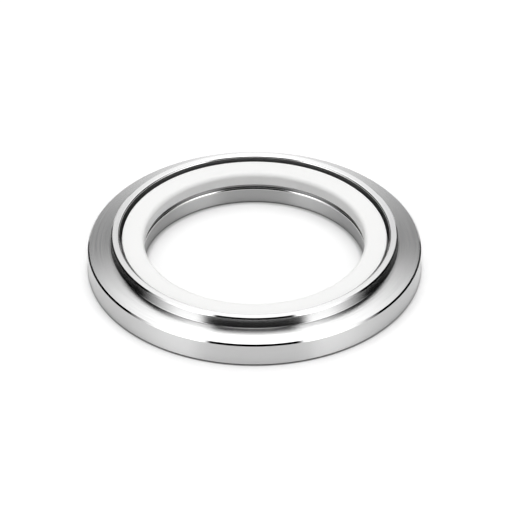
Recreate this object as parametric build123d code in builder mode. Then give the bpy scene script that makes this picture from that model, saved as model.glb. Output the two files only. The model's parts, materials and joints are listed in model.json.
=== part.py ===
from build123d import *
import os

# Clamp-type vacuum centering ring: a turned stainless steel body with a wide
# clamping flange and a raised collar, and a white PTFE seal ring that drops
# into the collar's pocket. Both pieces are plain turned rings about Z. The
# origin is on the axis, in the plane of the body's base face.

# ---------------------------------------------------------------- dimensions (mm)
# Radial build-up, from the bore outwards.
bore_d = 50.0               # bore of the steel body
ledge_width = 0.55          # narrow ledge between the bore and the step below the seal seat
seal_overhang = 0.2         # the seal ring's bore is smaller than the body's by this much
seal_width = 4.95           # radial width of the seal ring
seal_clearance = 0.65       # radial room between the seal ring and its pocket
collar_wall = 1.8           # steel left round the pocket
flange_width = 5.3          # clamping flange outside the collar

# Heights, from the base face upwards.
flange_rim_height = 5.65    # flange thickness at its rim
flange_taper_rise = 0.75    # rise of the sloped clamping face from rim to collar
collar_rise = 2.6           # collar above the inner end of the clamping face
seal_height = 2.95          # thickness of the seal ring
step_height = 1.15          # step from the ledge up to the seal seat
seal_recess = 0.9           # seal face below the collar's top face

# Edge breaks and fillets.
rim_chamfer = 0.35
base_outer_chamfer = 0.45
base_bore_chamfer = 0.3
collar_edge_chamfer = 0.3
collar_root_fillet = 0.15
pocket_mouth_fillet = 0.28  # rounded edge at the mouth of the pocket
pocket_root_fillet = 0.2
bore_edge_fillet = 0.45     # rounded edge where the bore meets the ledge
seal_bore_fillet = 0.95     # soft inner edge of the seal face
seal_face_chamfer = 0.1
seal_base_chamfer = 0.35    # clears the fillet at the bottom of the pocket

# ---------------------------------------------------------------- derived places
bore_r = bore_d / 2
step_r = bore_r + ledge_width
seal_bore_r = bore_r - seal_overhang
seal_r = seal_bore_r + seal_width
pocket_r = seal_r + seal_clearance
collar_r = pocket_r + collar_wall
flange_r = collar_r + flange_width

root_z = flange_rim_height + flange_taper_rise
top_z = root_z + collar_rise
seal_top_z = top_z - seal_recess
seat_z = seal_top_z - seal_height
ledge_z = seat_z - step_height


# ---------------------------------------------------------------- ring body
# One turned piece. Its half section is drawn on the XZ plane and revolved;
# the rounded corners get their fillets in the sketch.
with BuildPart() as ring_body:
    with BuildSketch(Plane.XZ) as body_section:
        with BuildLine():
            Polyline(
                (bore_r + base_bore_chamfer, 0),
                (flange_r - base_outer_chamfer, 0),
                (flange_r, base_outer_chamfer),
                (flange_r, flange_rim_height - rim_chamfer),
                (flange_r - rim_chamfer, flange_rim_height),
                (collar_r, root_z),
                (collar_r, top_z - collar_edge_chamfer),
                (collar_r - collar_edge_chamfer, top_z),
                (pocket_r, top_z),
                (pocket_r, seat_z),
                (step_r, seat_z),
                (step_r, ledge_z),
                (bore_r, ledge_z),
                (bore_r, base_bore_chamfer),
                close=True,
            )
        make_face()
        collar_root = body_section.vertices().sort_by_distance((collar_r, root_z))[0]
        pocket_mouth = body_section.vertices().sort_by_distance((pocket_r, top_z))[0]
        pocket_root = body_section.vertices().sort_by_distance((pocket_r, seat_z))[0]
        bore_edge = body_section.vertices().sort_by_distance((bore_r, ledge_z))[0]
        fillet(collar_root, radius=collar_root_fillet)
        fillet(pocket_mouth, radius=pocket_mouth_fillet)
        fillet(pocket_root, radius=pocket_root_fillet)
        fillet(bore_edge, radius=bore_edge_fillet)
    revolve(axis=Axis.Z)


# ---------------------------------------------------------------- seal ring
# It bears on the flat seat and reaches a little past the step and the bore.
# Its upper inner edge is rounded over.
with BuildPart() as seal_ring:
    with BuildSketch(Plane.XZ) as seal_section:
        with BuildLine():
            Polyline(
                (seal_bore_r, seat_z),
                (seal_r - seal_base_chamfer, seat_z),
                (seal_r, seat_z + seal_base_chamfer),
                (seal_r, seal_top_z - seal_face_chamfer),
                (seal_r - seal_face_chamfer, seal_top_z),
                (seal_bore_r, seal_top_z),
                close=True,
            )
        make_face()
        inner_edge = seal_section.vertices().sort_by_distance((seal_bore_r, seal_top_z))[0]
        fillet(inner_edge, radius=seal_bore_fillet)
    revolve(axis=Axis.Z)


# ---------------------------------------------------------------- export
print(f"flange {2 * flange_r:.2f} mm, bore {bore_d:.2f} mm, height {top_z:.2f} mm")

os.makedirs("parts", exist_ok=True)
ring_body.part.label = "ring_body"
export_step(ring_body.part, "parts/ring_body.step")
seal_ring.part.label = "seal_ring"
export_step(seal_ring.part, "parts/seal_ring.step")
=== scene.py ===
# %% [markdown]
# # A vacuum centering ring, dressed for a studio picture
# The part is two turned rings: a stainless steel body with a clamping flange
# and a raised collar, and a white PTFE seal ring lying in the collar's pocket.
# Its main sizes could be typed in again, but they are read from the frame
# that the solid part was packed into, so the dressed part can't drift away
# from the solid one.

# %% The frame and its sizes
import json
import math
import bmesh
import bpy
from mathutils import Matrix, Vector


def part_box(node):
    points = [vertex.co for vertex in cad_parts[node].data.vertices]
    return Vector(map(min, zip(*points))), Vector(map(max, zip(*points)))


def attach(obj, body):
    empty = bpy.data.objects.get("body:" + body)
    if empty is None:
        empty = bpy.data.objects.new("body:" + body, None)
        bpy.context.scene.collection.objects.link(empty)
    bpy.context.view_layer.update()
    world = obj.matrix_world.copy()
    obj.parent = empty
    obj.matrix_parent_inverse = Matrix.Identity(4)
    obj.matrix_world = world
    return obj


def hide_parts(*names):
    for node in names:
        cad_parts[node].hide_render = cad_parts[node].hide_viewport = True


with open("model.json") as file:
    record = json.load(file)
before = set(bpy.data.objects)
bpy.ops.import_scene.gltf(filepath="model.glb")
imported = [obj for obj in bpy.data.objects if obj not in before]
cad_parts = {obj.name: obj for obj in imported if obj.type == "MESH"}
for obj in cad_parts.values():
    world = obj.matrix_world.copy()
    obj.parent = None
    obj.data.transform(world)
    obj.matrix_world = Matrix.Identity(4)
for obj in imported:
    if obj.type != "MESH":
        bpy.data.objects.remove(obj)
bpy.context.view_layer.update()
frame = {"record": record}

MM = 0.001
mounts = {mount["name"]: mount for mount in frame["record"]["mounts"]}
body_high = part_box("ring_body")[1]
seal_low, seal_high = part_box("seal_ring")

bore_r = mounts["body_bore"]["dims"]["r_mm"] * MM
seal_bore_r = mounts["bore"]["dims"]["r_mm"] * MM
flange_r = mounts["flange_rim"]["dims"]["r_mm"] * MM
collar_r = mounts["collar"]["dims"]["r_mm"] * MM
top_z = body_high.z
seat_z = seal_low.z
seal_top_z = seal_high.z
seal_r = round(seal_high.x, 5)    # to 0.01 mm, which takes off what the facets cost
print(f"flange {flange_r / MM:.2f}, collar {collar_r / MM:.2f}, bore {bore_r / MM:.2f} mm radius")

# %% [markdown]
# ## Three small helpers
# Colours are written the way a paint chart gives them, as sRGB hex values.
# Blender's sockets want linear light, so one function converts them. A second
# one adds a node with its settings and links, and the trees below, for
# shaders and for geometry, are all built with it. The third starts an empty
# material. Nodes could also be placed by hand in the editor, but in a script
# every link can be read.

# %% Colours and nodes
def colour(hex_value):
    """An sRGB hex colour as linear RGBA."""
    channels = [int(hex_value[i:i + 2], 16) / 255 for i in (1, 3, 5)]
    linear = [c / 12.92 if c <= 0.04045 else ((c + 0.055) / 1.055) ** 2.4 for c in channels]
    return (*linear, 1.0)


def add(tree, kind, settings=None, **links):
    """Adds a node. A keyword is an input socket's name, or i and its number, with its value or its link."""
    node = tree.nodes.new(kind)
    for name, value in (settings or {}).items():
        setattr(node, name, value)
    for name, value in links.items():
        socket = node.inputs[int(name[1:])] if name[0] == "i" and name[1:].isdigit() \
            else node.inputs[name.replace("_", " ")]
        if isinstance(value, bpy.types.NodeSocket):
            tree.links.new(value, socket)
        else:
            socket.default_value = value
    return node


def new_material(name):
    """An empty node material with its output, ready for a shader."""
    material = bpy.data.materials.new(name)
    material.use_nodes = True
    material.node_tree.nodes.clear()
    output = material.node_tree.nodes.new("ShaderNodeOutputMaterial")
    return material, material.node_tree, output


print("mid grey #808080 in linear light:", round(colour("#808080")[0], 3))

# %% [markdown]
# ## Turned stainless steel
# The body is 304 stainless steel off a lathe. The tool leaves a fine spiral
# of marks round the axis, so a broad face doesn't mirror the room: it smears
# each reflection outwards, across the marks, and that gives the bright and
# dark fans that turned metal shows. A picture of scratches could be wrapped
# round it, but an anisotropic metal does it at any size, once its tangent
# runs round the axis. The tangent is the axis crossed with the place on the
# piece, worked out in Object coordinates.

# %% Tool marks shared by the steel finishes
# The marks are 0.1 mm apart on a real face. That is too fine to show, so they are drawn 0.3 mm apart.
TOOL_MARK_PITCH = 0.30 * MM
TOOL_MARK_DEPTH = 0.02 * MM
SPOTS_ROUND = 1.6    # how often the marks change on their way round the axis


def lathe_coordinates(tree):
    """A point on a turned piece: its radius and height, and the directions outward and round the axis."""
    place = add(tree, "ShaderNodeTexCoord").outputs["Object"]
    flat = add(tree, "ShaderNodeVectorMath", {"operation": "MULTIPLY"}, i0=place, i1=(1, 1, 0)).outputs[0]
    radius = add(tree, "ShaderNodeVectorMath", {"operation": "LENGTH"}, i0=flat).outputs["Value"]
    outward = add(tree, "ShaderNodeVectorMath", {"operation": "NORMALIZE"}, i0=flat).outputs[0]
    around = add(
        tree, "ShaderNodeVectorMath", {"operation": "CROSS_PRODUCT"}, i0=(0, 0, 1), i1=outward,
    ).outputs[0]
    height = add(tree, "ShaderNodeSeparateXYZ", i0=place).outputs["Z"]
    return radius, height, outward, around


def tool_marks(tree, radius, height, outward, pitch):
    """Noise that changes quickly across the tool marks and slowly round the axis."""
    across = add(tree, "ShaderNodeMath", {"operation": "DIVIDE"}, i0=radius, i1=pitch).outputs[0]
    up = add(tree, "ShaderNodeMath", {"operation": "DIVIDE"}, i0=height, i1=pitch).outputs[0]
    slow = add(
        tree, "ShaderNodeVectorMath", {"operation": "SCALE"}, i0=outward, Scale=SPOTS_ROUND,
    ).outputs[0]
    lift = add(tree, "ShaderNodeCombineXYZ", Z=up).outputs[0]
    spot = add(tree, "ShaderNodeVectorMath", {"operation": "ADD"}, i0=slow, i1=lift).outputs[0]
    return add(
        tree, "ShaderNodeTexNoise", {"noise_dimensions": "4D"},
        Vector=spot, W=across, Scale=1.0, Detail=2.0, Roughness=0.6,
    ).outputs["Fac"]


print(f"tool marks drawn {TOOL_MARK_PITCH / MM:.1f} mm apart")

# %% [markdown]
# ## Seven finishes of one steel
# The whole body is one piece of steel, yet its faces don't look alike. What
# tells them apart is how rough the tool left them and how much light gets to
# them; in the bore, the pocket and on the chamfers of the base, that shade is
# painted in as a darker colour. One function makes them all, and each finish
# only changes its numbers.
# They could be one material with masks, but then every face would be paying
# for all of the nodes, and a name in the slot list says more than a mask.

# %% Steel finishes
ACROSS_THE_MARKS = 0.25    # of a turn: the gloss is stretched across the tangent, not along it
BURNISHED_HEIGHT = 2.0 * MM
BURNISHED_SHARE = (0.15, 1.05)    # of the roughness, at the foot of the burnished height and at the top


def turned_steel(name, hex_value, roughness, swing, anisotropy, marks_shown, burnished=False):
    """Stainless steel as the lathe leaves it. Swing is how far the marks move the roughness."""
    material, tree, output = new_material(name)
    radius, height, outward, around = lathe_coordinates(tree)
    marks = tool_marks(tree, radius, height, outward, TOOL_MARK_PITCH)
    rough = add(
        tree, "ShaderNodeMapRange", i0=marks, i1=0.25, i2=0.75,
        i3=roughness - swing, i4=roughness + swing,
    ).outputs[0]
    if burnished:
        share = add(
            tree, "ShaderNodeMapRange", i0=height, i1=top_z - BURNISHED_HEIGHT, i2=top_z,
            i3=BURNISHED_SHARE[0], i4=BURNISHED_SHARE[1],
        ).outputs[0]
        rough = add(tree, "ShaderNodeMath", {"operation": "MULTIPLY"}, i0=rough, i1=share).outputs[0]
    bump = add(
        tree, "ShaderNodeBump", Strength=marks_shown, Distance=TOOL_MARK_DEPTH, Height=marks,
    ).outputs[0]
    steel = add(
        tree, "ShaderNodeBsdfPrincipled", i0=colour(hex_value), Metallic=1.0, Roughness=rough,
        Anisotropic=anisotropy, Anisotropic_Rotation=ACROSS_THE_MARKS, Normal=bump, Tangent=around,
    )
    tree.links.new(steel.outputs[0], output.inputs["Surface"])
    return material


# Base, rim wall and the collar's flat lip: a fine feed, which gives a silky grey.
satin_steel = turned_steel(
    "turned stainless steel, satin face", "#C7C7C7",
    roughness=0.22, swing=0.03, anisotropy=0.8, marks_shown=0.18,
)
# The sloped clamping face: a slightly coarser feed, with the longest fans of light.
face_steel = turned_steel(
    "turned stainless steel, broad face", "#C7C7C7",
    roughness=0.24, swing=0.04, anisotropy=0.8, marks_shown=0.22,
)
# The collar's wall: burnished at its foot, so the foot mirrors and the top glows.
fine_steel = turned_steel(
    "turned stainless steel, burnished root", "#C7C7C7",
    roughness=0.25, swing=0.01, anisotropy=0.7, marks_shown=0.02, burnished=True,
)
# The bore: a boring bar leaves the roughest wall, and its colour is painted a darker mid grey for the shade
# inside the bore.
bored_shade_painted_steel = turned_steel(
    "bored stainless steel, painted darker for shade", "#ADADAD",
    roughness=0.38, swing=0.06, anisotropy=0.7, marks_shown=0.22,
)
# Edge breaks, roundings and the ledge: polished, so they draw crisp bright and dark lines.
polished_steel = turned_steel(
    "turned stainless steel, polished edge", "#CCCCCC",
    roughness=0.06, swing=0.005, anisotropy=0.3, marks_shown=0.02,
)
# The top of the pocket's wall: drawn as the darkest steel, because seal and lip keep the light off it.
shaded_steel = turned_steel(
    "turned stainless steel, shaded by the lip", "#505050",
    roughness=0.30, swing=0.015, anisotropy=0.5, marks_shown=0.08,
)
# The rest of the pocket, the seat, the step and the chamfers of the base: dull, and painted dark for the
# shade in the pocket and under the base.
dull_shade_painted_steel = turned_steel(
    "turned stainless steel, dull, painted dark for shade", "#808080",
    roughness=0.30, swing=0.015, anisotropy=0.5, marks_shown=0.08,
)
body_finishes = [
    satin_steel, face_steel, fine_steel, bored_shade_painted_steel, polished_steel, dull_shade_painted_steel, shaded_steel,
]
print("steel finishes:", [finish.name for finish in body_finishes])

# %% [markdown]
# ## White PTFE
# PTFE is cut from a sintered bar. It is a dense waxy white, with no gloss to
# speak of: light goes a little way in before it comes out, which rounds off
# its shading. A plain white would look like plaster, so a little subsurface
# scattering does that here. A faint ring pattern from the lathe, twice as
# coarse as on the steel because the tool is fed faster, is all its texture.

# %% Sintered PTFE
PTFE_IOR = 1.35
PTFE_ROUGHNESS = (0.42, 0.52)
PTFE_MARK_DEPTH = 0.01 * MM
LIGHT_GOES_IN = 0.4 * MM


def sintered_ptfe():
    """White PTFE with faint tool marks."""
    material, tree, output = new_material("sintered white PTFE")
    radius, height, outward, _ = lathe_coordinates(tree)
    marks = tool_marks(tree, radius, height, outward, 2 * TOOL_MARK_PITCH)
    rough = add(
        tree, "ShaderNodeMapRange", i0=marks, i1=0.2, i2=0.8,
        i3=PTFE_ROUGHNESS[0], i4=PTFE_ROUGHNESS[1],
    ).outputs[0]
    bump = add(tree, "ShaderNodeBump", Strength=0.08, Distance=PTFE_MARK_DEPTH, Height=marks).outputs[0]
    white = add(
        tree, "ShaderNodeBsdfPrincipled", i0=colour("#F8F8F7"), Roughness=rough, IOR=PTFE_IOR,
        Normal=bump, Subsurface_Weight=0.15, Subsurface_Radius=(1.0, 1.0, 1.0),
        Subsurface_Scale=LIGHT_GOES_IN,
    )
    tree.links.new(white.outputs[0], output.inputs["Surface"])
    return material


ptfe = sintered_ptfe()
print("seal finish:", ptfe.name)

# %% [markdown]
# ## A lathe made of geometry nodes
# Both pieces are bodies of revolution, so one node group turns them both: it
# takes a half section drawn as a closed line, rounds the corners that carry
# an edge radius, cuts long straight stretches into shorter ones so that the
# shading stays flat right up to each edge, and sweeps the result round a
# circle. The Screw modifier could do the sweep, but not the rounding, and the
# named inputs here keep each piece adjustable.

# %% The lathe
def lathe_group():
    """The node group that turns a closed half section into a ring."""
    group = bpy.data.node_groups.new("Lathe", "GeometryNodeTree")
    for name, kind in (
        ("Section", "NodeSocketGeometry"),
        ("Path Radius", "NodeSocketFloat"),
        ("Facets Round", "NodeSocketInt"),
        ("Facets In A Fillet", "NodeSocketInt"),
        ("Longest Stretch", "NodeSocketFloat"),
        ("Sharp Edge Angle", "NodeSocketFloat"),
        ("Finish", "NodeSocketMaterial"),
    ):
        group.interface.new_socket(name, in_out="INPUT", socket_type=kind)
    group.interface.new_socket("Turned Piece", in_out="OUTPUT", socket_type="NodeSocketGeometry")
    given = group.nodes.new("NodeGroupInput").outputs

    line = add(group, "GeometryNodeMeshToCurve", Mesh=given["Section"]).outputs[0]
    radius = add(
        group, "GeometryNodeInputNamedAttribute", {"data_type": "FLOAT"}, Name="edge_radius",
    ).outputs["Attribute"]
    rounded = add(
        group, "GeometryNodeFilletCurve", {"mode": "POLY"},
        Curve=line, Count=given["Facets In A Fillet"], Radius=radius, Limit_Radius=True,
    ).outputs[0]

    # A stretch is cut so that no piece of it is longer than the given length.
    here = add(group, "GeometryNodeInputPosition").outputs[0]
    following = add(group, "GeometryNodeOffsetPointInCurve", Offset=1).outputs["Point Index"]
    there = add(
        group, "GeometryNodeFieldAtIndex", {"data_type": "FLOAT_VECTOR"}, Index=following, Value=here,
    ).outputs[0]
    length = add(
        group, "ShaderNodeVectorMath", {"operation": "DISTANCE"}, i0=here, i1=there,
    ).outputs["Value"]
    ratio = add(
        group, "ShaderNodeMath", {"operation": "DIVIDE"}, i0=length, i1=given["Longest Stretch"],
    ).outputs[0]
    cuts = add(group, "FunctionNodeFloatToInt", {"rounding_mode": "FLOOR"}, i0=ratio).outputs[0]
    fine = add(group, "GeometryNodeSubdivideCurve", Curve=rounded, Cuts=cuts).outputs[0]

    # The section is swept about the path, so it is moved in by the path's radius first.
    # The sweep takes a section's Y downwards, and the scale of -1 turns it back up.
    inward = add(
        group, "ShaderNodeMath", {"operation": "MULTIPLY"}, i0=given["Path Radius"], i1=-1.0,
    ).outputs[0]
    shift = add(group, "ShaderNodeCombineXYZ", X=inward).outputs[0]
    moved = add(
        group, "GeometryNodeTransform", Geometry=fine, Translation=shift, Scale=(1, -1, 1),
    ).outputs[0]
    path = add(
        group, "GeometryNodeCurvePrimitiveCircle", {"mode": "RADIUS"},
        Resolution=given["Facets Round"], Radius=given["Path Radius"],
    ).outputs["Curve"]
    turned = add(group, "GeometryNodeCurveToMesh", Curve=path, Profile_Curve=moved).outputs[0]

    smooth = add(group, "GeometryNodeSetShadeSmooth", {"domain": "FACE"}, Geometry=turned).outputs[0]
    angle = add(group, "GeometryNodeInputMeshEdgeAngle").outputs["Unsigned Angle"]
    sharp = add(
        group, "FunctionNodeCompare", {"data_type": "FLOAT", "operation": "GREATER_THAN"},
        i0=angle, i1=given["Sharp Edge Angle"],
    ).outputs[0]
    edged = add(
        group, "GeometryNodeSetShadeSmooth", {"domain": "EDGE"},
        Geometry=smooth, Selection=sharp, Shade_Smooth=False,
    ).outputs[0]
    real = add(group, "GeometryNodeRealizeInstances", Geometry=edged).outputs[0]
    finished = add(group, "GeometryNodeSetMaterial", Geometry=real, Material=given["Finish"]).outputs[0]
    result = group.nodes.new("NodeGroupOutput")
    group.links.new(finished, result.inputs["Turned Piece"])
    return group


lathe = lathe_group()
print("lathe inputs:", [item.name for item in lathe.interface.items_tree if item.in_out == "INPUT"])

# %% [markdown]
# ## The half section
# A section is a list of corners, each with its radius, its height, the radius
# of its rounding and the finish of the stretch that starts there. It could be
# a drawn curve, but a plain loop of edges with one attribute says the same
# and is easy to check. The lathe reads the roundings from that attribute.

# %% Section as a loop of edges
def section_object(name, corners):
    """The half section as a closed loop of edges, in the XY plane: X is radius, Y is height."""
    mesh = bpy.data.meshes.new(name)
    count = len(corners)
    points = [(radius, height, 0) for radius, height, _, _ in corners]
    mesh.from_pydata(points, [(i, (i + 1) % count) for i in range(count)], [])
    rounding = mesh.attributes.new("edge_radius", "FLOAT", "POINT")
    rounding.data.foreach_set("value", [edge_radius for _, _, edge_radius, _ in corners])
    section = bpy.data.objects.new(name, mesh)
    bpy.context.scene.collection.objects.link(section)
    return section


print("a corner holds its radius, height, rounding and finish")

# %% [markdown]
# ## Which finish a face takes
# The lathe's tree puts one finish on everything. A face then takes the finish
# of the stretch of section that it lies on, or the one for roundings if it is
# part of a rounded corner. Faces could be picked by hand, but not again after
# a size has changed.

# %% Finish by place
def nearest_stretch(corners, radius, height):
    """The stretch of section, named by its first corner, that a point lies on."""
    best, nearest = 0, math.inf
    for i, (r1, z1, _, _) in enumerate(corners):
        r2, z2 = corners[(i + 1) % len(corners)][:2]
        run, rise = r2 - r1, z2 - z1
        share = ((radius - r1) * run + (height - z1) * rise) / (run * run + rise * rise)
        share = min(1, max(0, share))
        away = math.hypot(radius - r1 - share * run, height - z1 - share * rise)
        if away < nearest:
            best, nearest = i, away
    return best


def give_finishes(mesh, corners, finishes, rounding_finish):
    """Gives the mesh its finishes, and each face the one that its place calls for."""
    mesh.materials.clear()
    for finish in finishes:
        mesh.materials.append(finish)
    for polygon in mesh.polygons:
        radius = math.hypot(polygon.center.x, polygon.center.y)
        height = polygon.center.z
        rounded = any(math.hypot(radius - r, height - z) < rounding for r, z, rounding, _ in corners)
        stretch = nearest_stretch(corners, radius, height)
        finish = rounding_finish if rounded else corners[stretch][3]
        polygon.material_index = finishes.index(finish)


test_square = [(1, 0, 0, None), (2, 0, 0, None), (2, 1, 0, None), (1, 1, 0, None)]
print("a point near the right side of a square is on stretch", nearest_stretch(test_square, 1.9, 0.5))

# %% [markdown]
# ## Turning a piece
# The lathe works on the section as a modifier. Its result is taken off as a
# mesh of its own, so nothing live is left on it. The sweep starts and ends at
# the same place, so the doubled points there are merged first, and the normals
# are turned outwards after that.

# %% Section in, piece out
FACETS_ROUND = 384
FACETS_IN_A_FILLET = 8
LONGEST_STRETCH = 0.5 * MM
SHARP_EDGE_ANGLE = math.radians(20)
SAME_POINT = 0.001 * MM


def turn(name, corners, finishes, rounding_finish):
    """Turns a section on the lathe and gives each face its finish."""
    section = section_object(name + " section", corners)
    modifier = section.modifiers.new("Lathe", "NODES")
    modifier.node_group = lathe
    inputs = {item.name: item.identifier for item in lathe.interface.items_tree if item.in_out == "INPUT"}
    modifier[inputs["Path Radius"]] = bore_r
    modifier[inputs["Facets Round"]] = FACETS_ROUND
    modifier[inputs["Facets In A Fillet"]] = FACETS_IN_A_FILLET
    modifier[inputs["Longest Stretch"]] = LONGEST_STRETCH
    modifier[inputs["Sharp Edge Angle"]] = SHARP_EDGE_ANGLE
    modifier[inputs["Finish"]] = finishes[0]

    evaluated = section.evaluated_get(bpy.context.evaluated_depsgraph_get())
    mesh = bpy.data.meshes.new_from_object(evaluated)
    mesh.name = name
    bpy.data.objects.remove(section)
    piece = bpy.data.objects.new(name, mesh)
    bpy.context.scene.collection.objects.link(piece)

    shell = bmesh.new()
    shell.from_mesh(mesh)
    bmesh.ops.remove_doubles(shell, verts=shell.verts, dist=SAME_POINT)
    bmesh.ops.recalc_face_normals(shell, faces=shell.faces)
    shell.to_mesh(mesh)
    shell.free()

    give_finishes(mesh, corners, finishes, rounding_finish)
    low = [min(vertex.co[axis] for vertex in mesh.vertices) for axis in range(3)]
    high = [max(vertex.co[axis] for vertex in mesh.vertices) for axis in range(3)]
    print(name, len(mesh.polygons), "faces, box", [round(value / MM, 2) for value in low + high])
    return piece


# %% [markdown]
# ## The steel body
# Going round the half section: flat base, rim wall, sloped clamping face,
# raised collar with its lip, rounded mouth of the pocket, flat seat for the
# seal, step, narrow ledge and bore. The broad faces keep the look that the
# turning tool left, and the roundings and most edge breaks are polished. The
# solid part could be shown as it is, but its facets are coarse for a mirror
# finish, so the same section is turned again, finer.

# %% Ring body
# Sizes that the frame doesn't hold are written as they are in the solid part.
base_outer_chamfer = 0.45 * MM
base_bore_chamfer = 0.30 * MM
rim_chamfer = 0.35 * MM
flange_rim_height = 5.65 * MM
flange_taper_rise = 0.75 * MM
collar_edge_chamfer = 0.30 * MM
collar_root_fillet = 0.15 * MM
pocket_clearance = 0.65 * MM
pocket_mouth_fillet = 0.28 * MM
shaded_depth = 0.55 * MM    # of the pocket's wall, from the top
pocket_root_fillet = 0.20 * MM
bore_edge_fillet = 0.45 * MM
ledge_width = 0.55 * MM
step_height = 1.15 * MM

pocket_r = seal_r + pocket_clearance
root_z = flange_rim_height + flange_taper_rise
ledge_z = seat_z - step_height
step_r = bore_r + ledge_width

# The pocket, the step, the bore and the base chamfers take finishes painted darker for the shade they lie
# in.
body_corners = [
    (bore_r + base_bore_chamfer, 0, 0, satin_steel),
    (flange_r - base_outer_chamfer, 0, 0, dull_shade_painted_steel),
    (flange_r, base_outer_chamfer, 0, satin_steel),
    (flange_r, flange_rim_height - rim_chamfer, 0, polished_steel),
    (flange_r - rim_chamfer, flange_rim_height, 0, face_steel),
    (collar_r, root_z, collar_root_fillet, fine_steel),
    (collar_r, top_z - collar_edge_chamfer, 0, polished_steel),
    (collar_r - collar_edge_chamfer, top_z, 0, satin_steel),
    (pocket_r, top_z, pocket_mouth_fillet, shaded_steel),
    (pocket_r, top_z - shaded_depth, 0, dull_shade_painted_steel),
    (pocket_r, seat_z, pocket_root_fillet, dull_shade_painted_steel),
    (step_r, seat_z, 0, dull_shade_painted_steel),
    (step_r, ledge_z, 0, polished_steel),
    (bore_r, ledge_z, bore_edge_fillet, bored_shade_painted_steel),
    (bore_r, base_bore_chamfer, 0, dull_shade_painted_steel),
]
ring_body = turn("turned_ring_body", body_corners, body_finishes, polished_steel)

# %% [markdown]
# ## The seal ring
# A plain PTFE ring lies on the seat in the pocket and reaches a little past
# the bore. Its upper inner edge is rounded over, its lower outer corner is cut
# back to clear the rounding in the pocket, and the upper outer corner is only
# broken. It is turned on the same lathe, which is how the real one is made.

# %% Seal ring
seal_bore_fillet = 0.95 * MM
seal_face_chamfer = 0.10 * MM
seal_base_chamfer = 0.35 * MM

seal_corners = [
    (seal_bore_r, seat_z, 0, ptfe),
    (seal_r - seal_base_chamfer, seat_z, 0, ptfe),
    (seal_r, seat_z + seal_base_chamfer, 0, ptfe),
    (seal_r, seal_top_z - seal_face_chamfer, 0, ptfe),
    (seal_r - seal_face_chamfer, seal_top_z, 0, ptfe),
    (seal_bore_r, seal_top_z, seal_bore_fillet, ptfe),
]
seal_ring = turn("turned_seal_ring", seal_corners, [ptfe], ptfe)

# %% [markdown]
# ## Handing the pieces over
# The imported part keeps its own two solids for contact and weight. Each turned
# piece says which body it moves with and which solid it stands for. The solids
# could be hidden one by one instead, but then nothing would record which piece
# replaces which.

# %% Bodies, nodes and slots
for piece, node, slot in (
    (ring_body, "ring_body", "turned_stainless_steel"),
    (seal_ring, "seal_ring", "white_ptfe"),
):
    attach(piece, "root")
    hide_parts(node)
print("dressed:", ring_body.name, seal_ring.name)

# %% [markdown]
# ## Floor
# A sheet of white paper. The eye sees it matt white, with a little glow of
# its own that takes the open sheet up to full white, and with the shade of
# the ring on it. Two shades make the shadow: the one that the light leaves,
# and a narrow contact shade where the sheet is close to steel, a little wider
# inside the bore, where the walls close it in.
#
# The sheet could simply be lit harder, but that would wash out the part. So
# the ray that looks decides: a glossy ray, which is a reflection in the
# metal, sees a smoother sheet with a painted pool of light round the part,
# which fades to dark away from it, and the light that the sheet throws back
# is kept low.

# %% White floor
FLOOR_HALF = 2.0
SHADE_REACH_IN_BORE = 1.4 * MM
SHADE_REACH_AT_RIM = 0.5 * MM
# A painted pool of light on the sheet that reflections see: full round the part, fading to dark outwards.
LIT_POOL_RADIUS = 65 * MM    # mirrored in full up to here, and gone at twice this
LIT_POOL_EDGE = 0.05
PAPER_WHITE = 0.92
SEEN_GLOW = 0.18
MIRRORED_GLOW = 0.16
BOUNCED_GREY = 0.45


def white_paper():
    """White paper that is one thing to the eye, another to a reflection and a third to bounced light."""
    material, tree, output = new_material("white paper sheet")
    radius = lathe_coordinates(tree)[0]
    reach = add(
        tree, "ShaderNodeMapRange", i0=radius, i1=bore_r, i2=flange_r,
        i3=SHADE_REACH_IN_BORE, i4=SHADE_REACH_AT_RIM,
    ).outputs[0]
    contact = add(tree, "ShaderNodeAmbientOcclusion", {"samples": 8}, Distance=reach).outputs["AO"]
    # Painted pool of light: the reflected sheet is fully bright near the part and fades to dark outwards.
    lit_pool = add(
        tree, "ShaderNodeMapRange", {"interpolation_type": "SMOOTHSTEP"},
        i0=radius, i1=LIT_POOL_RADIUS, i2=2 * LIT_POOL_RADIUS, i3=1.0, i4=LIT_POOL_EDGE,
    ).outputs[0]
    contact_in_lit_pool = add(
        tree, "ShaderNodeMath", {"operation": "MULTIPLY"}, i0=contact, i1=lit_pool,
    ).outputs[0]

    def glowing_sheet(level, glow, kind, **finish):
        """A sheet whose colour and glow both follow the level."""
        tone = add(tree, "ShaderNodeMath", {"operation": "MULTIPLY"}, i0=level, i1=PAPER_WHITE).outputs[0]
        lift = add(tree, "ShaderNodeMath", {"operation": "MULTIPLY"}, i0=level, i1=glow).outputs[0]
        sheet = add(tree, kind, i0=tone, **finish).outputs[0]
        light = add(tree, "ShaderNodeEmission", Color=(1, 1, 1, 1), Strength=lift).outputs[0]
        return add(tree, "ShaderNodeAddShader", i0=sheet, i1=light).outputs[0]

    seen = glowing_sheet(contact, SEEN_GLOW, "ShaderNodeBsdfDiffuse")
    mirrored = glowing_sheet(
        contact_in_lit_pool, MIRRORED_GLOW, "ShaderNodeBsdfPrincipled", Roughness=0.3, IOR=1.9,
    )
    bounced = add(
        tree, "ShaderNodeBsdfDiffuse", Color=(BOUNCED_GREY, BOUNCED_GREY, BOUNCED_GREY, 1),
    ).outputs[0]
    rays = add(tree, "ShaderNodeLightPath").outputs
    sheet = add(tree, "ShaderNodeMixShader", i0=rays["Is Glossy Ray"], i1=bounced, i2=mirrored).outputs[0]
    sheet = add(tree, "ShaderNodeMixShader", i0=rays["Is Camera Ray"], i1=sheet, i2=seen).outputs[0]
    tree.links.new(sheet, output.inputs["Surface"])
    return material


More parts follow.
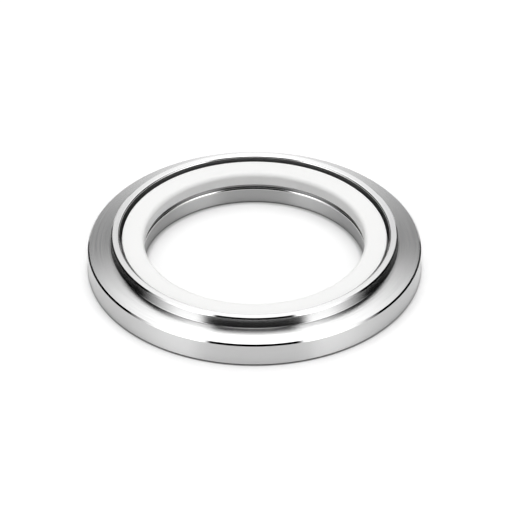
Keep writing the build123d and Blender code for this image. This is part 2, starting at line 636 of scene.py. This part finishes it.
def white_floor():
    """A square sheet under the part."""
    mesh = bpy.data.meshes.new("floor")
    corners = [(x * FLOOR_HALF, y * FLOOR_HALF, 0) for x, y in ((-1, -1), (1, -1), (1, 1), (-1, 1))]
    mesh.from_pydata(corners, [], [(0, 1, 2, 3)])
    mesh.materials.append(white_paper())
    floor = bpy.data.objects.new("floor", mesh)
    bpy.context.scene.collection.objects.link(floor)
    return floor


floor = white_floor()
print(floor.name, 2 * FLOOR_HALF, "m across")

# %% [markdown]
# ## Directions in the studio
# Polished metal shows the room more than itself, so the light is a room of
# soft panels in a dark space. Lamps and card could be set round the part, but
# a room drawn in the world by direction is smaller, and every edge of a panel
# is a number. Two angles name a direction: elevation above the floor, and
# azimuth from the front of the part (0) over its sides (90) to the back (180),
# the same on the left and on the right.

# %% Azimuth and elevation
def studio_angles(tree):
    """The azimuth and the elevation that a ray leaves in, in radians."""
    direction = add(tree, "ShaderNodeTexCoord").outputs["Generated"]
    split = add(tree, "ShaderNodeSeparateXYZ", i0=direction).outputs
    elevation = add(tree, "ShaderNodeMath", {"operation": "ARCSINE"}, i0=split["Z"]).outputs[0]
    sideways = add(tree, "ShaderNodeMath", {"operation": "ABSOLUTE"}, i0=split["X"]).outputs[0]
    forwards = add(tree, "ShaderNodeMath", {"operation": "MULTIPLY"}, i0=split["Y"], i1=-1.0).outputs[0]
    azimuth = add(tree, "ShaderNodeMath", {"operation": "ARCTAN2"}, i0=sideways, i1=forwards).outputs[0]
    return azimuth, elevation


SOFT = "SMOOTHSTEP"
EVEN = "LINEAR"


def panel(tree, strength, *edges):
    """A panel's light: its strength, faded in at each edge from the angle where it is dark to full."""
    light = strength
    for angle, dark, full, fade in edges:
        share = add(
            tree, "ShaderNodeMapRange", {"interpolation_type": fade},
            i0=angle, i1=math.radians(dark), i2=math.radians(full),
        ).outputs[0]
        light = add(tree, "ShaderNodeMath", {"operation": "MULTIPLY"}, i0=light, i1=share).outputs[0]
    return light


print("panel edges fade in two ways:", SOFT, "or", EVEN)

# %% [markdown]
# ## The panels
# Two tall panels at the sides draw the bright fans to the left and right of
# the front, on the walls and the edge breaks. A panel behind and overhead is
# what the sloped face and the lip mirror, with a window below it, a dim wall
# beside it and one more panel straight above. The front stays dark, which
# gives the black line on the rim's chamfer and the dark patch on the collar.
#
# Reflections see the panels at full strength. Matt light, which is what the
# seal and the paper live by, gets less from the sides and a fill from above,
# so that their whites stay even. To the eye the world is plain white.

# %% Studio
SIDE_LIGHT = 3.3
SIDE_LIGHT_FOR_MATT = 0.65 * SIDE_LIGHT
OVERHEAD_LIGHT = 2.6
TOP_LIGHT = 3.6
WINDOW_LIGHT = 1.6
WALL_LIGHT = 0.08
FILL_FOR_MATT = 1.2
DARK_ROOM = 0.002


def studio():
    """The world: panels by direction for the part, plain white for the eye."""
    world = bpy.data.worlds.new("studio")
    bpy.context.scene.world = world
    world.use_nodes = True
    tree = world.node_tree
    tree.nodes.clear()
    azimuth, elevation = studio_angles(tree)
    rays = add(tree, "ShaderNodeLightPath").outputs
    matt = add(
        tree, "ShaderNodeMath", {"operation": "SUBTRACT"}, i0=1.0, i1=rays["Is Glossy Ray"],
    ).outputs[0]
    side_light = add(
        tree, "ShaderNodeMapRange", i0=matt, i3=SIDE_LIGHT, i4=SIDE_LIGHT_FOR_MATT,
    ).outputs[0]
    fill_light = add(
        tree, "ShaderNodeMath", {"operation": "MULTIPLY"}, i0=matt, i1=FILL_FOR_MATT,
    ).outputs[0]

    panels = [
        panel(
            tree, side_light,
            (azimuth, 34, 44, SOFT), (azimuth, 94, 58, EVEN),
            (elevation, 0, 8, SOFT), (elevation, 62, 52, SOFT),
        ),
        panel(tree, OVERHEAD_LIGHT, (azimuth, 148, 162, SOFT), (elevation, 34, 50, EVEN)),
        panel(tree, TOP_LIGHT, (azimuth, 162, 148, SOFT), (elevation, 75, 83, SOFT)),
        panel(
            tree, WINDOW_LIGHT,
            (azimuth, 166, 180, EVEN), (elevation, 53, 33, EVEN), (elevation, 4, 12, SOFT),
        ),
        panel(tree, WALL_LIGHT, (azimuth, 110, 150, SOFT), (elevation, 50, 40, SOFT)),
        panel(tree, fill_light, (elevation, 45, 72, SOFT)),
    ]
    light = DARK_ROOM
    for lit in panels:
        light = add(tree, "ShaderNodeMath", {"operation": "ADD"}, i0=light, i1=lit).outputs[0]

    strength = add(
        tree, "ShaderNodeMix", {"data_type": "FLOAT"}, i0=rays["Is Camera Ray"], i2=light, i3=1.0,
    ).outputs[0]
    background = add(tree, "ShaderNodeBackground", Color=(1, 1, 1, 1), Strength=strength).outputs[0]
    output = tree.nodes.new("ShaderNodeOutputWorld")
    tree.links.new(background, output.inputs["Surface"])
    return len(panels)


print("panels in the studio:", studio())

# %% [markdown]
# ## Camera
# A long lens, well back, looking down at 36 degrees, so the ring's ellipse is
# nearly the same near and far. A short lens close by would also frame the
# part, but would swell its near side. The focal length is worked out from how
# much of the world the picture takes in, top to bottom, at the part. The
# picture is a hair taller than wide, so the sensor's size lies along its
# height.

# %% Long lens
CAMERA_ELEVATION = math.radians(35.8)
CAMERA_DISTANCE = 1.271
SENSOR_MM = 36.0
PICTURE_HEIGHT = 117.48 * MM
MOVED_ASIDE = 1.24 * MM
MOVED_UP = 1.29 * MM


def camera():
    """The scene's camera. It is moved up and aside without turning, which sets where the part sits."""
    data = bpy.data.cameras.new("camera")
    data.sensor_width = SENSOR_MM
    data.lens = SENSOR_MM * CAMERA_DISTANCE / PICTURE_HEIGHT
    data.clip_start = 0.05
    data.clip_end = 20.0
    eye = bpy.data.objects.new("camera", data)
    bpy.context.scene.collection.objects.link(eye)
    across = Vector((1, 0, 0))
    up = Vector((0, math.sin(CAMERA_ELEVATION), math.cos(CAMERA_ELEVATION)))
    back = Vector((0, -math.cos(CAMERA_ELEVATION), math.sin(CAMERA_ELEVATION)))
    eye.location = MOVED_ASIDE * across + MOVED_UP * up + CAMERA_DISTANCE * back
    eye.rotation_euler = (math.pi / 2 - CAMERA_ELEVATION, 0, 0)
    bpy.context.scene.camera = eye
    return eye


eye = camera()
print(f"lens {eye.data.lens:.0f} mm on a {SENSOR_MM:.0f} mm sensor")

# %% [markdown]
# The Standard view keeps a written colour as it is, where a filmic one would grey the whites.

# %% Finish
bpy.context.scene.view_settings.view_transform = "Standard"
